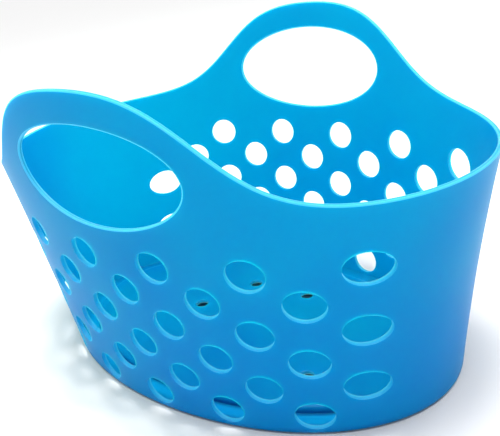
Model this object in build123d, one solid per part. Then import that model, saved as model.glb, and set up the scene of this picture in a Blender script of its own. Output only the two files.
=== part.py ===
"""Oval shower caddy: a thin-walled moulded tub with two arched handles.

Origin: centre of the footprint, on the surface the caddy stands on.
Axes: +X runs along the long way of the oval, -Y is the front long side, +Z is up.
Units: millimetres.

The real caddy is a single moulding. Each node below is one region of that moulding,
cut so that neighbouring regions meet face to face and never overlap.
"""
import math
import os

from build123d import *

# ---------------------------------------------------------------- driving dimensions
WALL = 2.2                      # thickness of every wall and of the floor

BASE_HALF_LENGTH = 123.0        # half length of the oval outline at the base
BASE_HALF_WIDTH = 81.2          # half width of the oval outline at the base
END_LEAN = 0.0873               # how far each end leans out, per mm of height
END_FLARE = 0.000416            # extra lean of the ends, growing with the square of height
SIDE_LEAN = 0.118               # how far each long side leans out, per mm of height

BASE_FULLNESS = 0.02            # how far the oval's shoulders swell past an ellipse at the base
FULLNESS_GAIN = 0.0002          # how much fuller the oval grows, per mm of height
OUTLINE_POINTS = 24             # points that carry each oval outline

END_RIM_HEIGHT = 120.3          # height of the rim at the two ends of the oval
HANDLE_RISE = 53.6              # how far the rim would climb at a very wide handle
HANDLE_HALF_SPAN = 59.1         # distance from the middle to the steepest part of the rim
RIM_EASE = 27.1                 # length over which the rim bends from low to high

GRIP_HALF_LENGTH = 48.0         # half length of the oval hand opening
GRIP_HALF_HEIGHT = 24.3         # half height of the oval hand opening
GRIP_CENTRE_HEIGHT = 133.4      # height of the middle of the hand opening

HOLE_RADIUS = 8.2               # radius of the round holes, seen square on to the long side
HOLE_LOWEST_ROW = 12.1          # height of the lowest row of holes
HOLE_ROW_PITCH = 15.9           # height from one row to the next
HOLE_ROWS = 6                   # rows on each long side, staggered
HOLE_COLUMNS_EACH_WAY = 5       # columns on each side of the middle one
HOLE_COLUMN_SHARE = 0.16        # column spacing, as a share of the half length there

CHANNEL_WIDTH = 10.0            # sunken track between the wall and the raised floor
FLOOR_TOP = 5.6                 # height of the raised floor's upper face
DRAIN_RADIUS = 4.0              # radius of the drain holes in the floor
DRAIN_PITCH_X = 38.0            # spacing of the drain holes along the caddy
DRAIN_PITCH_Y = 34.0            # spacing of the rows of drain holes

END_SPLIT_X = 118.0             # where each end wall meets the long walls
HANDLE_SPLIT_X = 74.0           # half length of each handle region
HANDLE_SPLIT_HEIGHT = 104.5     # where each handle region stands on its long wall

LOFT_HEIGHTS = (0.0, 45.0, 90.0, 135.0, 180.0)
REACH = 400.0                   # longer than anything in the model


# ---------------------------------------------------------------- shape of the tub
def half_length(height):
    """Half length of the outer oval at a height."""
    return BASE_HALF_LENGTH + END_LEAN * height + END_FLARE * height ** 2


def half_width(height):
    """Half width of the outer oval at a height."""
    return BASE_HALF_WIDTH + SIDE_LEAN * height


def fullness(height):
    """How far the oval's shoulders swell past a plain ellipse at a height."""
    return BASE_FULLNESS + FULLNESS_GAIN * height


def rim_height(x):
    """Height of the rim at a distance x from the middle: low ends, a smooth arch between."""
    left_bend = math.tanh((x + HANDLE_HALF_SPAN) / RIM_EASE)
    right_bend = math.tanh((x - HANDLE_HALF_SPAN) / RIM_EASE)
    return END_RIM_HEIGHT + HANDLE_RISE * 0.5 * (left_bend - right_bend)


def oval(length_radius, width_radius, fullness):
    """Flat oval face: an ellipse whose four shoulders swell out by the fullness."""
    points = []
    for step in range(OUTLINE_POINTS):
        angle = math.tau * step / OUTLINE_POINTS
        along = math.cos(angle) * (1 + fullness * math.sin(angle) ** 2)
        across = math.sin(angle) * (1 + fullness * math.cos(angle) ** 2)
        points.append((length_radius * along, width_radius * across))
    return make_face(Spline(*points, periodic=True))


def oval_body(inset):
    """Solid oval cup shape, drawn in from the outer surface by the inset."""
    sections = []
    for height in LOFT_HEIGHTS:
        outline = oval(half_length(height) - inset, half_width(height) - inset, fullness(height))
        sections.append(Pos(0, 0, height) * outline)
    return loft(sections)


def oval_prism(inset, bottom, top):
    """Upright oval prism that follows the base outline, drawn in by the inset."""
    outline = oval(BASE_HALF_LENGTH - inset, BASE_HALF_WIDTH - inset, BASE_FULLNESS)
    return Pos(0, 0, bottom) * extrude(outline, amount=top - bottom)


def slab(bottom, top):
    """Everything between two heights."""
    return Pos(0, 0, (bottom + top) / 2) * Box(REACH, REACH, top - bottom)


def under_rim():
    """Everything below the rim line, as a prism that runs front to back."""
    half_reach = 160.0
    steps = 32
    points = []
    for step in range(steps + 1):
        x = -half_reach + 2 * half_reach * step / steps
        points.append((x, rim_height(x)))
    crest = Spline(*points)
    sides = Polyline((half_reach, rim_height(half_reach)), (half_reach, 0), (-half_reach, 0),
                     (-half_reach, rim_height(half_reach)))
    profile = Plane.XZ * make_face([crest, sides])
    return extrude(profile, amount=REACH / 2, both=True)


def side_holes():
    """The staggered round holes, each one a rod that passes through both long sides."""
    rods = []
    for row in range(HOLE_ROWS):
        height = HOLE_LOWEST_ROW + row * HOLE_ROW_PITCH
        for column in range(-HOLE_COLUMNS_EACH_WAY, HOLE_COLUMNS_EACH_WAY + 1):
            if (row + column) % 2:
                continue
            x = column * HOLE_COLUMN_SHARE * half_length(height)
            rods.append(Pos(x, 0, height) * Rot(90, 0, 0) * Cylinder(HOLE_RADIUS, REACH))
    return rods


def grip_opening():
    """The oval hand opening, as a rod that passes through both handles."""
    outline = Plane.XZ * Ellipse(GRIP_HALF_LENGTH, GRIP_HALF_HEIGHT)
    return Pos(0, 0, GRIP_CENTRE_HEIGHT) * extrude(outline, amount=REACH / 2, both=True)


# ---------------------------------------------------------------- regions of the moulding
def perforated_shell():
    """The whole tub wall: rim cut, side holes and both hand openings, but no floor."""
    shell = oval_body(0) - oval_body(WALL)
    shell = shell & under_rim()
    return shell - side_holes() - grip_opening()


def end_region(side):
    """Everything past one end split, on the side given by its sign."""
    middle = side * (END_SPLIT_X + REACH / 2)
    return Pos(middle, 0, REACH / 2) * Box(REACH, REACH, REACH)


def long_side_region(side):
    """Everything between the end splits, on the side given by its sign."""
    return Pos(0, side * REACH / 2, REACH / 2) * Box(2 * END_SPLIT_X, REACH, REACH)


def handle_region():
    """Everything that belongs to the two handles."""
    middle = HANDLE_SPLIT_HEIGHT + REACH / 2
    return Pos(0, 0, middle) * Box(2 * HANDLE_SPLIT_X, REACH, REACH)


def base_track():
    """Flat ring that the caddy stands on, with the riser up to the raised floor."""
    riser_inset = WALL + CHANNEL_WIDTH
    ring = (oval_body(WALL) & slab(0, WALL)) - oval_prism(riser_inset, 0, WALL)
    riser = oval_prism(riser_inset, 0, FLOOR_TOP) - oval_prism(riser_inset + WALL, 0, FLOOR_TOP)
    return ring + riser


def floor_drains():
    """Round drain holes in staggered rows."""
    rods = []
    for row in (-1, 0, 1):
        count = 4 if row else 5
        for index in range(count):
            x = (index - (count - 1) / 2) * DRAIN_PITCH_X
            rods.append(Pos(x, row * DRAIN_PITCH_Y, FLOOR_TOP) * Cylinder(DRAIN_RADIUS, 4 * WALL))
    return rods


def floor_panel():
    """Raised floor inside the riser, drilled to drain."""
    panel = oval_prism(CHANNEL_WIDTH + 2 * WALL, FLOOR_TOP - WALL, FLOOR_TOP)
    return panel - floor_drains()


def build():
    """All regions by node name."""
    shell = perforated_shell()
    handles = shell & handle_region()
    walls = shell - handle_region()
    return {
        "floor_panel": floor_panel(),
        "base_track": base_track(),
        "front_wall": walls & long_side_region(-1),
        "rear_wall": walls & long_side_region(1),
        "left_end_wall": walls & end_region(-1),
        "right_end_wall": walls & end_region(1),
        "front_handle": handles & long_side_region(-1),
        "rear_handle": handles & long_side_region(1),
    }


def main():
    """Write one STEP file for each region."""
    os.makedirs("parts", exist_ok=True)
    for name, region in build().items():
        region.label = name
        export_step(region, f"parts/{name}.step")
        print(name, "volume", round(region.volume), "mm3")


main()
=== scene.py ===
"""Visual model of an oval shower caddy: one thin-walled moulding with two arched handles.

The wall is drawn as a single sheet along the middle of the plastic, with its holes, hand
openings and rim in place. It is given its thickness and its rounded edges last.
Units are metres. +X runs along the long way of the oval, -Y is the front, +Z is up.
"""

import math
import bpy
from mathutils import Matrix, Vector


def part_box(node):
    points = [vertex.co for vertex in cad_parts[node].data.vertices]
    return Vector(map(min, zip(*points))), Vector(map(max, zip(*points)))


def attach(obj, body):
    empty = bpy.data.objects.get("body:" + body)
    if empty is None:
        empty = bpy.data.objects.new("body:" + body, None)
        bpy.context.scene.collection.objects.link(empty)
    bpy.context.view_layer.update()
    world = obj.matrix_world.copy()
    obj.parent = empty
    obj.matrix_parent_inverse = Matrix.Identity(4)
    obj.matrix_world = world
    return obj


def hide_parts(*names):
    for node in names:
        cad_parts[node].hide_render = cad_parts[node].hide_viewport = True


bl_info = {
    "name": "Shower Caddy Maker",
    "version": (1, 0, 0),
    "blender": (4, 5, 0),
    "location": "View3D > Sidebar > Caddy",
    "description": "Builds a moulded oval shower caddy with arched handles and its studio",
    "category": "Add Mesh",
}

import bmesh
import bpy
from mathutils import Matrix, Vector

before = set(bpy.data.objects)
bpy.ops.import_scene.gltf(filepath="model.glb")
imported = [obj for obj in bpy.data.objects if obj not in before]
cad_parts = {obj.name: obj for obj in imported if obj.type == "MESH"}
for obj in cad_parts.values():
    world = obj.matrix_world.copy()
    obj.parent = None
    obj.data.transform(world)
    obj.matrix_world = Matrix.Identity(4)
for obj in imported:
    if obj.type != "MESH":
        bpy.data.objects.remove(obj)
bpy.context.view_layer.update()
FLOOR_LOW, FLOOR_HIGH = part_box("floor_panel")
TRACK_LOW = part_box("base_track")[0]

MM = 0.001
BODY = "root"
NODES = sorted(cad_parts)
FRONT, REAR = -1, 1             # sides of the caddy, as the sign of y

# Layout of the sheet: how many strips go round each stretch of the oval and up the wall.
END_STRIPS = 8                  # round each blank end
HALF_END = END_STRIPS // 2
SIDE_STRIPS = 22                # along each long side, two to a hole column
HALF_SIDE = SIDE_STRIPS // 2
AROUND = 2 * (END_STRIPS + SIDE_STRIPS)
HOLE_STRIPS = 12                # up the perforated part, two to a hole row
TOP_STRIPS = 6                  # from the top of the holes to the rim
UP = HOLE_STRIPS + TOP_STRIPS
GRIP_HALF_STRIPS = 4            # strips on each side of the middle that the hand opening spans
GRIP_LOW_LINE = HOLE_STRIPS + 1     # lines across the sheet that the hand opening lies between
GRIP_HIGH_LINE = UP - 1
GRIP_CORNERS = 2 * (2 * GRIP_HALF_STRIPS + GRIP_HIGH_LINE - GRIP_LOW_LINE)
HOLE_CORNERS = 8                # points of the net round each side hole
HOLE_DRAW_IN = (2 + math.cos(math.tau / HOLE_CORNERS)) / 3  # how much smoothing shrinks a hole
DRAIN_CORNERS = 24              # points round each drain hole
MIDDLE_DRAINS = 5               # drain holes in the middle row of the floor
OUTER_DRAINS = 4                # drain holes in each of the two rows beside it

# How finely the shape is worked out and finished.
SMOOTH_LEVELS = 2               # rounds of smoothing that refine the sheet
EVENING_ROUNDS = 12             # rounds that even out the fine strips between the openings
ANGLE_ROUNDS = 4                # rounds that settle the angle of a point on the wall
SHARE_ROUNDS = 8                # rounds that settle the angle for a distance along the oval
NET_RIM_ROUNDS = 24             # rounds that settle the rim's height on a line of the net
EDGE_RIM_ROUNDS = 16            # rounds that settle the rim's height at a point of its edge
ROUND_SHARE = 0.5               # how much of the way a round of evening or of rim height goes
BEND_STEPS = 4                  # faces across each bend of the base
RIM_STEPS = 3                   # faces across the rounding of the rim and hand openings
HOLE_STEPS = 2                  # faces across the rounding of the small holes
OUTLINE_REACH = 1.08            # a point this many radii from a middle still lies on its outline
WELD = 0.01 * MM                # points nearer than this become one
LEVEL_SLACK = 0.05 * MM         # how far a point may stray from a level and still count as on it

# Kinds of face, and how much each takes of the painted highlight colour on edges.
SURFACE, CUT, ROUNDED = range(3)    # the wall, a cut through the wall, a rounding
HIGHLIGHT_SHARE = {SURFACE: 0.0, CUT: 0.3, ROUNDED: 1.0}

# Studio layout.
BACKDROP_HALF_SIZE = 60         # metres, so that its far edge looks like the horizon
BACKDROP_ROUGHNESS, BACKDROP_GLOSS = 0.9, 0.1
NEAREST_VIEW = 0.01             # nearest distance that the camera sees
AIM = Vector((0, 0, 0.09))      # where every lamp points
TOP_LIGHT_REACH = 0.2           # how far the top light leans towards the camera
TOP_LIGHT_HEIGHT = 3.8
LEFT_BOX_PLACE, LEFT_BOX_SIZE = (-1.1, -0.1, 0.5), (0.7, 0.9)
INNER_BOX_PLACE, INNER_BOX_SIZE = (0, 0, 0.9), (0.35, 0.35)
BACK_BOX_PLACE, BACK_BOX_SIZE = (0.5, 0.9, 1.1), (0.8, 0.8)
WHITE = (1, 1, 1)


# ---------------------------------------------------------------- settings
class TubSettings(bpy.types.PropertyGroup):
    """Sizes of the moulded tub."""

    wall: bpy.props.FloatProperty(
        name="Wall", description="Thickness of the wall and floor", unit="LENGTH",
        default=FLOOR_HIGH.z - FLOOR_LOW.z, min=0.0005)
    base_half_length: bpy.props.FloatProperty(
        name="Base half length", description="Half length of the oval where it stands",
        unit="LENGTH", default=0.123)
    base_half_width: bpy.props.FloatProperty(
        name="Base half width", description="Half width of the oval where it stands",
        unit="LENGTH", default=0.0812)
    end_lean: bpy.props.FloatProperty(
        name="End lean", description="How far each end leans out per metre of height",
        default=0.0873)
    end_flare: bpy.props.FloatProperty(
        name="End flare", description="How much faster the ends lean out, per metre squared",
        default=0.416)
    side_lean: bpy.props.FloatProperty(
        name="Side lean", description="How far each long side leans out per metre of height",
        default=0.118)
    base_fullness: bpy.props.FloatProperty(
        name="Base fullness", description="How far the oval's shoulders swell past an ellipse",
        default=0.02)
    fullness_gain: bpy.props.FloatProperty(
        name="Fullness gain", description="How much fuller the oval grows per metre of height",
        default=0.2)
    end_rim_height: bpy.props.FloatProperty(
        name="End rim height", description="Height of the rim at the two ends", unit="LENGTH",
        default=0.1203)
    handle_rise: bpy.props.FloatProperty(
        name="Handle rise", description="How far the rim would climb at a very wide handle",
        unit="LENGTH", default=0.0536)
    handle_half_span: bpy.props.FloatProperty(
        name="Handle half span", description="Distance from the middle to the steepest rim",
        unit="LENGTH", default=0.0591)
    rim_ease: bpy.props.FloatProperty(
        name="Rim ease", description="Length over which the rim bends from low to high",
        unit="LENGTH", default=0.0271)
    grip_half_length: bpy.props.FloatProperty(
        name="Grip half length", description="Half length of the hand opening",
        unit="LENGTH", default=0.048)
    grip_half_height: bpy.props.FloatProperty(
        name="Grip half height", description="Half height of the hand opening",
        unit="LENGTH", default=0.0243)
    grip_height: bpy.props.FloatProperty(
        name="Grip height", description="Height of the middle of the hand opening",
        unit="LENGTH", default=0.1334)
    hole_radius: bpy.props.FloatProperty(
        name="Hole radius", description="Radius of the round side holes", unit="LENGTH",
        default=0.0082)
    hole_lowest: bpy.props.FloatProperty(
        name="Lowest hole row", description="Height of the lowest row of holes",
        unit="LENGTH", default=0.0121)
    hole_row_pitch: bpy.props.FloatProperty(
        name="Hole row pitch", description="Height from one row of holes to the next",
        unit="LENGTH", default=0.0159)
    hole_column_share: bpy.props.FloatProperty(
        name="Hole column share", description="Column spacing as a share of the half length",
        default=0.16)
    hole_web: bpy.props.FloatProperty(
        name="Hole web", description="Width of the ring of plain sheet kept round each hole",
        unit="LENGTH", default=0.0032)
    corner_radius: bpy.props.FloatProperty(
        name="Corner radius", description="Bend of the sheet where the wall meets the base",
        unit="LENGTH", default=0.0015)
    drain_radius: bpy.props.FloatProperty(
        name="Drain radius", description="Radius of the drain holes in the floor",
        unit="LENGTH", default=0.004)
    drain_collar: bpy.props.FloatProperty(
        name="Drain collar", description="Width of the flat ring kept round each drain hole",
        unit="LENGTH", default=0.0015)
    drain_pitch_x: bpy.props.FloatProperty(
        name="Drain pitch along", description="Spacing of the drain holes along the caddy",
        unit="LENGTH", default=0.038)
    drain_pitch_y: bpy.props.FloatProperty(
        name="Drain pitch across", description="Spacing of the rows of drain holes",
        unit="LENGTH", default=0.034)
    rim_rounding: bpy.props.FloatProperty(
        name="Rim rounding", description="Radius on the edges of the rim and hand openings",
        unit="LENGTH", default=0.0009)
    hole_rounding: bpy.props.FloatProperty(
        name="Hole rounding", description="Radius on the edges of the small holes",
        unit="LENGTH", default=0.0004)


class PlasticSettings(bpy.types.PropertyGroup):
    """Colours and finish of the plastic."""

    body_colour: bpy.props.FloatVectorProperty(
        name="Body colour", description="Colour of the moulded plastic", subtype="COLOR",
        size=3, min=0, max=1, default=(0.0, 0.195, 0.41))
    cloud_colour: bpy.props.FloatVectorProperty(
        name="Cloud colour", description="Deeper colour in the faint cloudy flow marks",
        subtype="COLOR", size=3, min=0, max=1, default=(0.0, 0.145, 0.39))
    # Painted highlight: paler colour laid on rounded edges, and faintly on cut walls, for the
    # light they catch.
    highlight_colour: bpy.props.FloatVectorProperty(
        name="Edge colour", description="Paler colour of thin, light-filled edges",
        subtype="COLOR", size=3, min=0, max=1, default=(0.08, 0.35, 0.66))
    roughness: bpy.props.FloatProperty(
        name="Roughness", description="Roughness of the satin surface", subtype="FACTOR",
        min=0, max=1, default=0.38)
    gloss: bpy.props.FloatProperty(
        name="Gloss", description="Strength of the surface reflection", subtype="FACTOR",
        min=0, max=1, default=0.15)
    refraction: bpy.props.FloatProperty(
        name="Refraction", description="Index of refraction of the surface", min=1, default=1.25)
    light_travel: bpy.props.FloatProperty(
        name="Light travel", description="How far light spreads inside the plastic",
        unit="LENGTH", default=0.02)
    travel_shares: bpy.props.FloatVectorProperty(
        name="Travel shares", description="Share of that distance for red, green and blue light",
        size=3, min=0, max=1, default=(0.1, 0.8, 1.0))
    cloud_scale: bpy.props.FloatProperty(
        name="Cloud scale", description="Number of cloudy flow marks to a metre", default=9.0)
    cloud_detail: bpy.props.FloatProperty(
        name="Cloud detail", description="Fineness of the outline of the flow marks", default=2.0)
    cloud_start: bpy.props.FloatProperty(
        name="Cloud start", description="Noise level at which a flow mark begins",
        subtype="FACTOR", min=0, max=1, default=0.36)
    cloud_full: bpy.props.FloatProperty(
        name="Cloud full", description="Noise level at which a flow mark is strongest",
        subtype="FACTOR", min=0, max=1, default=0.64)
    skin_scale: bpy.props.FloatProperty(
        name="Skin scale", description="Number of grains of the moulded skin to a metre",
        default=1400.0)
    skin_detail: bpy.props.FloatProperty(
        name="Skin detail", description="Fineness of the grains", default=1.0)
    skin_strength: bpy.props.FloatProperty(
        name="Skin strength", description="Strength of the skin's relief", subtype="FACTOR",
        min=0, max=1, default=0.12)
    skin_depth: bpy.props.FloatProperty(
        name="Skin depth", description="Depth of the skin's relief", unit="LENGTH",
        default=0.05 * MM)


class StageSettings(bpy.types.PropertyGroup):
    """Camera, floor and lights."""

    view_azimuth: bpy.props.FloatProperty(
        name="View azimuth", description="How far the camera stands round to the right",
        subtype="ANGLE", default=math.radians(38.5))
    view_elevation: bpy.props.FloatProperty(
        name="View elevation", description="How far the camera looks down",
        subtype="ANGLE", default=math.radians(22.9))
    view_roll: bpy.props.FloatProperty(
        name="View roll", description="Tilt of the camera about its line of sight",
        subtype="ANGLE", default=math.radians(-8.6))
    view_distance: bpy.props.FloatProperty(
        name="View distance", description="From the camera to the point it looks at",
        unit="LENGTH", default=0.3613)
    target_height: bpy.props.FloatProperty(
        name="Target height", description="Height of the point the camera looks at",
        unit="LENGTH", default=0.08)
    lens: bpy.props.FloatProperty(
        name="Lens", description="Focal length of the camera in millimetres",
        unit="CAMERA", default=46.7)
    shift_x: bpy.props.FloatProperty(
        name="Shift across", description="Sideways framing of the picture", default=0.0307)
    shift_y: bpy.props.FloatProperty(
        name="Shift up", description="Vertical framing of the picture", default=-0.0287)
    top_light: bpy.props.FloatProperty(
        name="Top light", description="Strength of the steep broad top light", default=2.2)
    top_light_width: bpy.props.FloatProperty(
        name="Top light width", description="Angle that the top light fills in the sky",
        subtype="ANGLE", default=math.radians(40))
    left_box: bpy.props.FloatProperty(
        name="Left box", description="Power of the left soft box", unit="POWER",
        default=4.0)
    left_tint: bpy.props.FloatVectorProperty(
        name="Left tint", description="Colour of the left soft box", subtype="COLOR",
        size=3, min=0, max=1, default=(0.4, 1.0, 0.8))
    inner_box: bpy.props.FloatProperty(
        name="Inner box", description="Power of the soft box over the opening",
        unit="POWER", default=5.5)
    back_box: bpy.props.FloatProperty(
        name="Back box", description="Power of the soft box behind", unit="POWER",
        default=5.0)
    surround: bpy.props.FloatProperty(
        name="Surround", description="Brightness of the surround overhead", default=0.3)
    horizon: bpy.props.FloatProperty(
        name="Horizon", description="Brightness of the surround at the horizon", default=0.7)
    horizon_fade: bpy.props.FloatProperty(
        name="Horizon fade", description="Sine of the height at which the surround stops fading",
        default=0.3)
    backdrop: bpy.props.FloatVectorProperty(
        name="Backdrop", description="Colour of the floor", subtype="COLOR",
        size=3, min=0, max=1, default=(0.93, 0.93, 0.93))


# ---------------------------------------------------------------- shape of the tub
def half_length(tub, height):
    """Half length of the outer oval at a height."""
    return tub.base_half_length + tub.end_lean * height + tub.end_flare * height ** 2


def half_width(tub, height):
    """Half width of the outer oval at a height."""
    return tub.base_half_width + tub.side_lean * height


def fullness(tub, height):
    """How far the oval's shoulders swell past a plain ellipse at a height."""
    return tub.base_fullness + tub.fullness_gain * height


def oval_point(tub, angle, height, inset):
    """Point of the oval at an angle round it, drawn in from the outer surface by the inset."""
    swell = fullness(tub, height)
    along = math.cos(angle) * (1 + swell * math.sin(angle) ** 2)
    across = math.sin(angle) * (1 + swell * math.cos(angle) ** 2)
    x = (half_length(tub, height) - inset) * along
    y = (half_width(tub, height) - inset) * across
    return Vector((x, y, height))


def angle_of(tub, point, inset):
    """Angle round the oval of a point on or near the wall."""
    swell = fullness(tub, point.z)
    along = point.x / (half_length(tub, point.z) - inset)
    across = point.y / (half_width(tub, point.z) - inset)
    angle = math.atan2(across, along)
    for _ in range(ANGLE_ROUNDS):
        wide = across * (1 + swell * math.sin(angle) ** 2)
        long = along * (1 + swell * math.cos(angle) ** 2)
        angle = math.atan2(wide, long)
    return angle


def angle_at_share(share, swell):
    """Angle, from 0 to 180 degrees, where the oval is at a share of its half length."""
    angle = math.acos(share)
    for _ in range(SHARE_ROUNDS):
        wanted = share / (1 + swell * math.sin(angle) ** 2)
        angle = math.acos(max(-1.0, min(1.0, wanted)))
    return angle


def side_point(tub, x, height, side, inset):
    """Point of the wall at a distance x from the middle, on the front or rear."""
    share = x / (half_length(tub, height) - inset)
    angle = side * angle_at_share(share, fullness(tub, height))
    return oval_point(tub, angle, height, inset)


def rim_height(tub, x):
    """Height of the rim at a distance x from the middle: low ends, a smooth arch between."""
    left_bend = math.tanh((x + tub.handle_half_span) / tub.rim_ease)
    right_bend = math.tanh((x - tub.handle_half_span) / tub.rim_ease)
    return tub.end_rim_height + tub.handle_rise * 0.5 * (left_bend - right_bend)


# ---------------------------------------------------------------- strips of the sheet
def strip_angle(tub, strip, height):
    """Angle of the line between two strips, counted round from the left end."""
    swell = fullness(tub, height)
    end_angle = angle_at_share(HALF_SIDE * tub.hole_column_share / 2, swell)
    if strip < HALF_END:
        return -math.pi + end_angle * strip / HALF_END
    if strip > AROUND - HALF_END:
        return math.pi - end_angle * (AROUND - strip) / HALF_END
    front = strip - HALF_END
    if front <= SIDE_STRIPS:
        share = (front - HALF_SIDE) * tub.hole_column_share / 2
        return -angle_at_share(share, swell)
    right_end = front - SIDE_STRIPS
    if right_end < END_STRIPS:
        return end_angle * (2 * right_end / END_STRIPS - 1)
    rear = right_end - END_STRIPS
    share = (HALF_SIDE - rear) * tub.hole_column_share / 2
    return angle_at_share(share, swell)


def column_strip(column, side):
    """Line between two strips that a half column lies on, on the front or rear."""
    if side == FRONT:
        return HALF_END + HALF_SIDE + column
    return HALF_END + SIDE_STRIPS + END_STRIPS + HALF_SIDE - column


def strip_rim(tub, strip, inset):
    """Height of the rim on a line between two strips."""
    height = tub.end_rim_height
    for _ in range(NET_RIM_ROUNDS):
        x = oval_point(tub, strip_angle(tub, strip, height), height, inset).x
        height += ROUND_SHARE * (rim_height(tub, x) - height)
    return height


def line_height(tub, line, rim):
    """Height of a line across the sheet, from the base corner at 0 to the rim at UP."""
    top_of_holes = tub.hole_lowest + (HOLE_STRIPS - 1) * tub.hole_row_pitch / 2
    if line == 0:
        return tub.wall / 2 + tub.corner_radius
    if line <= HOLE_STRIPS:
        return tub.hole_lowest + (line - 1) * tub.hole_row_pitch / 2
    share = (line - HOLE_STRIPS) / TOP_STRIPS
    return top_of_holes + share * (rim - top_of_holes)


def plain_sheet(tub):
    """The wall as an even net of strips with no openings yet, and its points by place."""
    sheet = bmesh.new()
    stretch = Matrix.Diagonal((AROUND / 2, UP / 2, 1, 1))
    place = Matrix.Translation((AROUND / 2, UP / 2, 0)) @ stretch
    bmesh.ops.create_grid(sheet, x_segments=AROUND, y_segments=UP, size=1, matrix=place)
    middle = tub.wall / 2
    rims = [strip_rim(tub, strip, middle) for strip in range(AROUND + 1)]
    net = {}
    for point in sheet.verts:
        strip = round(point.co.x)
        line = round(point.co.y)
        height = line_height(tub, line, rims[strip])
        point.co = oval_point(tub, strip_angle(tub, strip, height), height, middle)
        net[strip, line] = point
    return sheet, net


def side_hole_places(tub):
    """Each side hole: its half column, its line across the sheet and its side."""
    places = []
    for row in range(HOLE_STRIPS // 2):
        for column in range(-(HALF_SIDE // 2), HALF_SIDE // 2 + 1):
            if (row + column) % 2 == 0:
                places.append((2 * column, 1 + 2 * row, FRONT))
                places.append((2 * column, 1 + 2 * row, REAR))
    return places


def hole_centre(tub, column, line):
    """Distance along and height of the middle of a side hole."""
    height = tub.hole_lowest + (line - 1) * tub.hole_row_pitch / 2
    x = column / 2 * tub.hole_column_share * (half_length(tub, height) - tub.wall / 2)
    return x, height


def open_side_hole(tub, sheet, net, column, line, side):
    """Clear the sheet round one hole and draw its edge in to the hole's outline."""
    strip = column_strip(column, side)
    x, height = hole_centre(tub, column, line)
    reach = tub.hole_radius + tub.hole_web
    middle = tub.wall / 2
    beside = (net[strip - 1, line], net[strip + 1, line])
    ends = sorted(beside, key=lambda point: point.co.x)
    ends[0].co = side_point(tub, x - reach, height, side, middle)
    ends[1].co = side_point(tub, x + reach, height, side, middle)
    net[strip, line + 1].co = side_point(tub, x, height + reach, side, middle)
    if line > 1:
        net[strip, line - 1].co = side_point(tub, x, height - reach, side, middle)
    centre = net.pop((strip, line))
    edges = [edge for face in centre.link_faces for edge in face.edges
             if centre not in edge.verts]
    bmesh.ops.delete(sheet, geom=[centre], context="VERTS")
    drawn = bmesh.ops.extrude_edge_only(sheet, edges=edges)
    for point in drawn["geom"]:
        if isinstance(point, bmesh.types.BMVert):
            away = Vector((point.co.x - x, point.co.z - height)).normalized()
            away *= tub.hole_radius / HOLE_DRAW_IN
            point.co = side_point(tub, x + away.x, height + away.y, side, middle)


def grip_turn(column, line):
    """Angle round the hand opening of a point of the net on its edge, in radians."""
    step = math.tau / GRIP_CORNERS
    if line == GRIP_HIGH_LINE:
        return math.pi / 2 - column * step
    if line == GRIP_LOW_LINE:
        return -math.pi / 2 + column * step
    rise = line - (GRIP_LOW_LINE + GRIP_HIGH_LINE) / 2
    return rise * step if column > 0 else math.pi - rise * step


def open_grip(tub, sheet, net, side):
    """Clear the hand opening of one handle and shape its edge."""
    inner = []
    for column in range(-GRIP_HALF_STRIPS, GRIP_HALF_STRIPS + 1):
        for line in range(GRIP_LOW_LINE, GRIP_HIGH_LINE + 1):
            point = net[column_strip(column, side), line]
            if abs(column) < GRIP_HALF_STRIPS and GRIP_LOW_LINE < line < GRIP_HIGH_LINE:
                inner.append(point)
                continue
            turn = grip_turn(column, line)
            x = tub.grip_half_length * math.cos(turn)
            height = tub.grip_height + tub.grip_half_height * math.sin(turn)
            point.co = side_point(tub, x, height, side, tub.wall / 2)
    bmesh.ops.delete(sheet, geom=inner, context="VERTS")


def evaluated_mesh(mesh, name, add_modifiers):
    """The mesh as its modifiers leave it, as a new mesh."""
    holder = bpy.data.objects.new(name, mesh)
    bpy.context.scene.collection.objects.link(holder)
    add_modifiers(holder)
    graph = bpy.context.evaluated_depsgraph_get()
    result = bpy.data.meshes.new_from_object(holder.evaluated_get(graph))
    bpy.data.objects.remove(holder)
    bpy.data.meshes.remove(mesh)
    return result


def mesh_of(sheet, name):
    """A new mesh that holds the sheet, which is then let go."""
    mesh = bpy.data.meshes.new(name)
    sheet.to_mesh(mesh)
    sheet.free()
    return mesh


def add_smoothing(holder):
    """Smooth the net into fine strips."""
    smoothing = holder.modifiers.new("smoothing", "SUBSURF")
    smoothing.levels = SMOOTH_LEVELS
    smoothing.render_levels = SMOOTH_LEVELS


def settle_on_wall(tub, sheet):
    """Put every point exactly on the wall, and the open edges exactly on their outlines."""
    middle = tub.wall / 2
    centres = {}
    for column, line, side in side_hole_places(tub):
        centres[column, line, side] = hole_centre(tub, column, line)
    for point in sheet.verts:
        if point.is_boundary:
            settle_edge_point(tub, point, centres)
    inner = [point for point in sheet.verts if not point.is_boundary]
    for _ in range(EVENING_ROUNDS):
        bmesh.ops.smooth_vert(sheet, verts=inner, factor=ROUND_SHARE, use_axis_x=True,
                              use_axis_y=True, use_axis_z=True)
        for point in inner:
            point.co = oval_point(tub, angle_of(tub, point.co, middle), point.co.z, middle)


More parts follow.
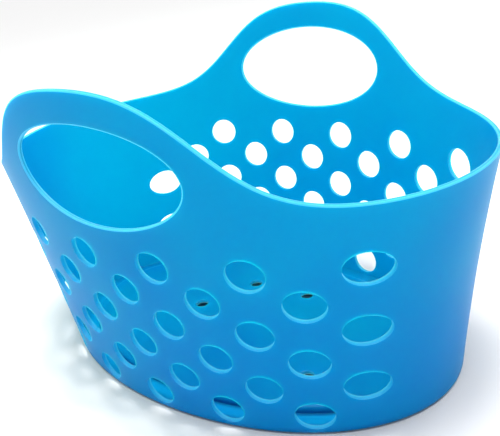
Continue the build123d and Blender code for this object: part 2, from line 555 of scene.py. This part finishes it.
def settle_edge_point(tub, point, centres):
    """Put one point of an open edge on the outline of its hole, hand opening, rim or base."""
    middle = tub.wall / 2
    side = FRONT if point.co.y < 0 else REAR
    spot = Vector((point.co.x, point.co.z))
    for (_, _, hole_side), centre in centres.items():
        away = spot - Vector(centre)
        if hole_side == side and away.length < tub.hole_radius * OUTLINE_REACH:
            away = away.normalized() * tub.hole_radius
            point.co = side_point(tub, centre[0] + away.x, centre[1] + away.y, side, middle)
            return
    across = point.co.x / tub.grip_half_length
    up = (point.co.z - tub.grip_height) / tub.grip_half_height
    if math.hypot(across, up) < OUTLINE_REACH:
        turn = math.atan2(up, across)
        x = tub.grip_half_length * math.cos(turn)
        height = tub.grip_height + tub.grip_half_height * math.sin(turn)
        point.co = side_point(tub, x, height, side, middle)
        return
    angle = angle_of(tub, point.co, middle)
    height = tub.wall / 2 + tub.corner_radius
    above_base = 2 * tub.hole_lowest
    if point.co.z > above_base:
        height = point.co.z
        for _ in range(EDGE_RIM_ROUNDS):
            x = oval_point(tub, angle, height, middle).x
            height += ROUND_SHARE * (rim_height(tub, x) - height)
    point.co = oval_point(tub, angle, height, middle)


# ---------------------------------------------------------------- base and floor
def bend(centre, radius, start, stop):
    """Points of a bend in the base's cross-section, as inset and height."""
    points = []
    for step in range(1, BEND_STEPS + 1):
        turn = math.radians(start + (stop - start) * step / BEND_STEPS)
        points.append((centre[0] + radius * math.cos(turn), centre[1] + radius * math.sin(turn)))
    return points


def base_section(tub):
    """Cross-section of the base along the middle of the plastic, from the wall to the floor."""
    wall = tub.wall
    radius = tub.corner_radius
    low = wall / 2
    high = FLOOR_HIGH.z - wall / 2
    riser = FLOOR_LOW.x - TRACK_LOW.x + wall / 2
    section = bend((wall / 2 + radius, low + radius), radius, 180, 270)
    section += [(riser - radius, low)]
    section += bend((riser - radius, low + radius), radius, -90, 0)
    section += [(riser, high - radius)]
    section += bend((riser + radius, high - radius), radius, 180, 90)
    section += [(riser + 2 * radius, high)]
    return section


def open_loop(sheet, below):
    """Open edges of the sheet that lie below a height."""
    return [edge for edge in sheet.edges
            if edge.is_boundary and all(point.co.z < below for point in edge.verts)]


def add_base(tub, sheet):
    """Carry the sheet round the base corner, along the track, up the riser and onto the floor."""
    edges = open_loop(sheet, tub.wall / 2 + tub.corner_radius + LEVEL_SLACK)
    for inset, height in base_section(tub):
        drawn = bmesh.ops.extrude_edge_only(sheet, edges=edges)["geom"]
        for point in drawn:
            if isinstance(point, bmesh.types.BMVert):
                angle = angle_of(tub, point.co, tub.wall / 2)
                point.co = oval_point(tub, angle, height, inset)
        edges = [edge for edge in drawn
                 if isinstance(edge, bmesh.types.BMEdge) and edge.is_boundary]
    return edges


def drain_places(tub):
    """Middle of each floor drain."""
    places = []
    for row in (-1, 0, 1):
        count = OUTER_DRAINS if row else MIDDLE_DRAINS
        for index in range(count):
            x = (index - (count - 1) / 2) * tub.drain_pitch_x
            places.append((x, row * tub.drain_pitch_y))
    return places


def add_floor(tub, sheet, edges):
    """Fill the floor inside its edge, leaving the drain holes open."""
    height = FLOOR_HIGH.z - tub.wall / 2
    outline = list(edges)
    collars = []
    for x, y in drain_places(tub):
        place = Matrix.Translation((x, y, height))
        circle = bmesh.ops.create_circle(sheet, segments=DRAIN_CORNERS, matrix=place,
                                         radius=tub.drain_radius + tub.drain_collar)
        collar = list({edge for point in circle["verts"] for edge in point.link_edges})
        collars.append((place, collar))
        outline += collar
    bmesh.ops.triangle_fill(sheet, edges=outline, use_beauty=True, normal=(0, 0, 1))
    inward = tub.drain_radius / (tub.drain_radius + tub.drain_collar)
    for place, collar in collars:
        drawn = bmesh.ops.extrude_edge_only(sheet, edges=collar)["geom"]
        points = [point for point in drawn if isinstance(point, bmesh.types.BMVert)]
        bmesh.ops.scale(sheet, verts=points, vec=(inward, inward, 1), space=place.inverted())


def add_thickness(tub, holder):
    """Give the sheet its thickness, with its open edges marked by their own material index."""
    for _ in (SURFACE, CUT):    # the marking needs an empty slot for each kind
        holder.data.materials.append(None)
    thickness = holder.modifiers.new("thickness", "SOLIDIFY")
    thickness.thickness = tub.wall
    thickness.offset = 0
    thickness.use_even_offset = True
    thickness.material_offset_rim = CUT


def outline_edges(shell, is_wanted):
    """Sharp edges between the wall's faces and the cuts through it that pass the given test."""
    found = []
    for edge in shell.edges:
        kinds = {face.material_index for face in edge.link_faces}
        if kinds == {SURFACE, CUT} and is_wanted(edge):
            found.append(edge)
    return found


def on_large_outline(tub, edge):
    """Whether an edge belongs to the rim or a hand opening, not to a side hole or drain."""
    spot = (edge.verts[0].co + edge.verts[1].co) / 2
    return spot.z > tub.grip_height - tub.grip_half_height - tub.hole_web / 2


def round_outlines(tub, shell):
    """Round the rim, the hand openings and every hole, and mark their faces as edges."""
    for face in shell.faces:
        face.smooth = True
    large = outline_edges(shell, lambda edge: on_large_outline(tub, edge))
    bmesh.ops.bevel(shell, geom=large, offset=tub.rim_rounding, offset_type="OFFSET",
                    segments=RIM_STEPS, profile=0.5, affect="EDGES", material=ROUNDED,
                    clamp_overlap=True)
    small = outline_edges(shell, lambda edge: not on_large_outline(tub, edge))
    bmesh.ops.bevel(shell, geom=small, offset=tub.hole_rounding, offset_type="OFFSET",
                    segments=HOLE_STEPS, profile=0.5, affect="EDGES", material=ROUNDED,
                    clamp_overlap=True)


def mark_highlight_shares(shell):
    """Store how much painted highlight each face takes, for the plastic's colour."""
    mark = shell.loops.layers.float.new("painted_highlight")
    for face in shell.faces:
        for corner in face.loops:
            corner[mark] = HIGHLIGHT_SHARE[face.material_index]
        face.material_index = SURFACE
        face.smooth = True


# ---------------------------------------------------------------- materials
def new_material(name):
    """A node material that holds only its output and a Principled shader."""
    material = bpy.data.materials.new(name)
    material.use_nodes = True
    nodes = material.node_tree.nodes
    nodes.clear()
    output = nodes.new("ShaderNodeOutputMaterial")
    shader = nodes.new("ShaderNodeBsdfPrincipled")
    material.node_tree.links.new(shader.outputs["BSDF"], output.inputs["Surface"])
    return material, shader


def caddy_plastic(plastic):
    """Flexible blue plastic: satin gloss, a painted highlight on thin edges, faint flow marks."""
    material, shader = new_material("caddy_plastic")
    nodes = material.node_tree.nodes
    link = material.node_tree.links.new
    shader.inputs["Roughness"].default_value = plastic.roughness
    shader.inputs["IOR"].default_value = plastic.refraction
    shader.inputs["Specular IOR Level"].default_value = plastic.gloss
    shader.inputs["Subsurface Weight"].default_value = 1.0
    shader.inputs["Subsurface Radius"].default_value = plastic.travel_shares
    shader.inputs["Subsurface Scale"].default_value = plastic.light_travel

    place = nodes.new("ShaderNodeTexCoord")
    # Reads the share of painted highlight stored on each face.
    edge = nodes.new("ShaderNodeAttribute")
    edge.attribute_name = "painted_highlight"
    clouds = nodes.new("ShaderNodeTexNoise")
    clouds.inputs["Scale"].default_value = plastic.cloud_scale
    clouds.inputs["Detail"].default_value = plastic.cloud_detail
    link(place.outputs["Object"], clouds.inputs["Vector"])

    tint = nodes.new("ShaderNodeMix")
    tint.data_type = "RGBA"
    tint.inputs["A"].default_value = (*plastic.body_colour, 1)
    tint.inputs["B"].default_value = (*plastic.cloud_colour, 1)
    patches = nodes.new("ShaderNodeMapRange")
    patches.inputs["From Min"].default_value = plastic.cloud_start
    patches.inputs["From Max"].default_value = plastic.cloud_full
    link(clouds.outputs["Fac"], patches.inputs["Value"])
    link(patches.outputs["Result"], tint.inputs["Factor"])

    # Painted highlight: paler colour mixed in on rounded edges and cut walls.
    highlight_mix = nodes.new("ShaderNodeMix")
    highlight_mix.data_type = "RGBA"
    highlight_mix.inputs["B"].default_value = (*plastic.highlight_colour, 1)
    link(edge.outputs["Fac"], highlight_mix.inputs["Factor"])
    link(tint.outputs["Result"], highlight_mix.inputs["A"])
    link(highlight_mix.outputs["Result"], shader.inputs["Base Color"])

    skin = nodes.new("ShaderNodeTexNoise")
    skin.inputs["Scale"].default_value = plastic.skin_scale
    skin.inputs["Detail"].default_value = plastic.skin_detail
    link(place.outputs["Object"], skin.inputs["Vector"])
    bump = nodes.new("ShaderNodeBump")
    bump.inputs["Strength"].default_value = plastic.skin_strength
    bump.inputs["Distance"].default_value = plastic.skin_depth
    link(skin.outputs["Fac"], bump.inputs["Height"])
    link(bump.outputs["Normal"], shader.inputs["Normal"])
    return material


def backdrop_paint(stage):
    """Plain pale matt floor."""
    material, shader = new_material("backdrop_paint")
    shader.inputs["Base Color"].default_value = (*stage.backdrop, 1)
    shader.inputs["Roughness"].default_value = BACKDROP_ROUGHNESS
    shader.inputs["Specular IOR Level"].default_value = BACKDROP_GLOSS
    return material


# ---------------------------------------------------------------- operators
class CADDY_OT_tub(bpy.types.Operator):
    """Model the moulded tub with its holes, hand openings and rounded rim"""

    bl_idname = "caddy.tub"
    bl_label = "Moulded tub"

    def execute(self, context):
        tub = context.scene.caddy_tub
        sheet, net = plain_sheet(tub)
        for column, line, side in side_hole_places(tub):
            open_side_hole(tub, sheet, net, column, line, side)
        for side in (FRONT, REAR):
            open_grip(tub, sheet, net, side)
        bmesh.ops.remove_doubles(sheet, verts=sheet.verts, dist=WELD)
        bmesh.ops.recalc_face_normals(sheet, faces=sheet.faces)

        fine = evaluated_mesh(mesh_of(sheet, "net"), "net", add_smoothing)
        sheet = bmesh.new()
        sheet.from_mesh(fine)
        bpy.data.meshes.remove(fine)
        settle_on_wall(tub, sheet)
        edges = add_base(tub, sheet)
        add_floor(tub, sheet, edges)
        bmesh.ops.recalc_face_normals(sheet, faces=sheet.faces)
        # The faces point outwards when the highest one looks away from the middle of the caddy.
        highest = max(sheet.faces, key=lambda face: face.calc_center_median().z)
        if highest.normal.y * highest.calc_center_median().y < 0:
            bmesh.ops.reverse_faces(sheet, faces=sheet.faces)

        thick = evaluated_mesh(mesh_of(sheet, "sheet"), "sheet",
                               lambda holder: add_thickness(tub, holder))
        shell = bmesh.new()
        shell.from_mesh(thick)
        bpy.data.meshes.remove(thick)
        round_outlines(tub, shell)
        mark_highlight_shares(shell)
        piece = bpy.data.objects.new("tub", mesh_of(shell, "tub"))
        context.scene.collection.objects.link(piece)
        piece.data.materials.append(caddy_plastic(context.scene.caddy_plastic))
        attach(piece, BODY)
        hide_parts(*NODES)
        return {"FINISHED"}


class CADDY_OT_stage(bpy.types.Operator):
    """Set up the pale floor, the soft lights and the camera"""

    bl_idname = "caddy.stage"
    bl_label = "Studio"

    def execute(self, context):
        stage = context.scene.caddy_stage
        add_backdrop(context, stage)
        add_camera(context, stage)
        add_lights(context, stage)
        context.scene.view_settings.view_transform = "Standard"
        return {"FINISHED"}


def add_backdrop(context, stage):
    """Large pale floor under the caddy."""
    floor = bmesh.new()
    bmesh.ops.create_grid(floor, x_segments=1, y_segments=1, size=BACKDROP_HALF_SIZE)
    piece = bpy.data.objects.new("backdrop", mesh_of(floor, "backdrop"))
    context.scene.collection.objects.link(piece)
    piece.data.materials.append(backdrop_paint(stage))


def view_axes(stage):
    """Right, up and backward directions of the camera."""
    azimuth = stage.view_azimuth
    rise = stage.view_elevation
    level = math.cos(rise)
    back = Vector((math.sin(azimuth) * level, -math.cos(azimuth) * level, math.sin(rise)))
    right = Vector((math.cos(azimuth), math.sin(azimuth), 0))
    turn = Matrix.Rotation(stage.view_roll, 3, back)
    return turn @ right, turn @ back.cross(right), back


def add_camera(context, stage):
    """Camera on the caddy's front right, looking down at it."""
    right, up, back = view_axes(stage)
    lens = bpy.data.cameras.new("camera")
    lens.lens = stage.lens
    lens.shift_x = stage.shift_x
    lens.shift_y = stage.shift_y
    lens.clip_start = NEAREST_VIEW
    camera = bpy.data.objects.new("camera", lens)
    context.scene.collection.objects.link(camera)
    pose = Matrix((right, up, back)).transposed().to_4x4()
    pose.translation = Vector((0, 0, stage.target_height)) + back * stage.view_distance
    camera.matrix_world = pose
    context.scene.camera = camera


def add_lamp(context, data, place):
    """Put a lamp in the scene, aimed at the middle of the caddy."""
    lamp = bpy.data.objects.new(data.name, data)
    context.scene.collection.objects.link(lamp)
    lamp.location = place
    lamp.rotation_euler = (AIM - Vector(place)).to_track_quat("-Z", "Y").to_euler()


def add_soft_box(context, name, place, size, watts, colour=WHITE):
    """Rectangular soft box, aimed at the caddy."""
    data = bpy.data.lights.new(name, "AREA")
    data.shape = "RECTANGLE"
    data.size = size[0]
    data.size_y = size[1]
    data.energy = watts
    data.color = colour
    add_lamp(context, data, place)


def add_lights(context, stage):
    """Steep broad top light, soft boxes at the left, above and behind, and the surround."""
    data = bpy.data.lights.new("top_light", "SUN")
    data.energy = stage.top_light
    data.angle = stage.top_light_width
    turn = stage.view_azimuth
    towards = (TOP_LIGHT_REACH * math.sin(turn), -TOP_LIGHT_REACH * math.cos(turn))
    add_lamp(context, data, (*towards, TOP_LIGHT_HEIGHT))
    add_soft_box(context, "left_box", LEFT_BOX_PLACE, LEFT_BOX_SIZE, stage.left_box,
                 stage.left_tint)
    add_soft_box(context, "inner_box", INNER_BOX_PLACE, INNER_BOX_SIZE, stage.inner_box)
    add_soft_box(context, "back_box", BACK_BOX_PLACE, BACK_BOX_SIZE, stage.back_box)
    context.scene.world = white_surround(stage)


def white_surround(stage):
    """World that is palest at the horizon and fades to a softer light overhead."""
    world = bpy.data.worlds.new("surround")
    world.use_nodes = True
    nodes = world.node_tree.nodes
    link = world.node_tree.links.new
    place = nodes.new("ShaderNodeTexCoord")
    part = nodes.new("ShaderNodeSeparateXYZ")
    link(place.outputs["Generated"], part.inputs["Vector"])
    fade = nodes.new("ShaderNodeMapRange")
    fade.interpolation_type = "SMOOTHSTEP"
    fade.inputs["From Max"].default_value = stage.horizon_fade
    fade.inputs["To Min"].default_value = stage.horizon
    fade.inputs["To Max"].default_value = stage.surround
    link(part.outputs["Z"], fade.inputs["Value"])
    link(fade.outputs["Result"], nodes["Background"].inputs["Strength"])
    nodes["Background"].inputs["Color"].default_value = (*WHITE, 1)
    return world


class CADDY_PT_panel(bpy.types.Panel):
    """Shower caddy tools"""

    bl_label = "Shower caddy"
    bl_idname = "CADDY_PT_panel"
    bl_space_type = "VIEW_3D"
    bl_region_type = "UI"
    bl_category = "Caddy"

    def draw(self, context):
        layout = self.layout
        for operator in (CADDY_OT_tub, CADDY_OT_stage):
            layout.operator(operator.bl_idname)
        scene = context.scene
        for group in (scene.caddy_tub, scene.caddy_plastic, scene.caddy_stage):
            box = layout.box()
            for name in group.__annotations__:
                box.prop(group, name)


CLASSES = (TubSettings, PlasticSettings, StageSettings, CADDY_OT_tub, CADDY_OT_stage,
           CADDY_PT_panel)


def register():
    """Make the settings, operators and panel known to Blender."""
    for item in CLASSES:
        bpy.utils.register_class(item)
    bpy.types.Scene.caddy_tub = bpy.props.PointerProperty(type=TubSettings)
    bpy.types.Scene.caddy_plastic = bpy.props.PointerProperty(type=PlasticSettings)
    bpy.types.Scene.caddy_stage = bpy.props.PointerProperty(type=StageSettings)


def unregister():
    """Take the settings, operators and panel away again."""
    del bpy.types.Scene.caddy_tub
    del bpy.types.Scene.caddy_plastic
    del bpy.types.Scene.caddy_stage
    for item in reversed(CLASSES):
        bpy.utils.unregister_class(item)


def main():
    """Build the caddy and its studio."""
    register()
    bpy.ops.caddy.tub()
    bpy.ops.caddy.stage()


if __name__ == "__main__":
    main()
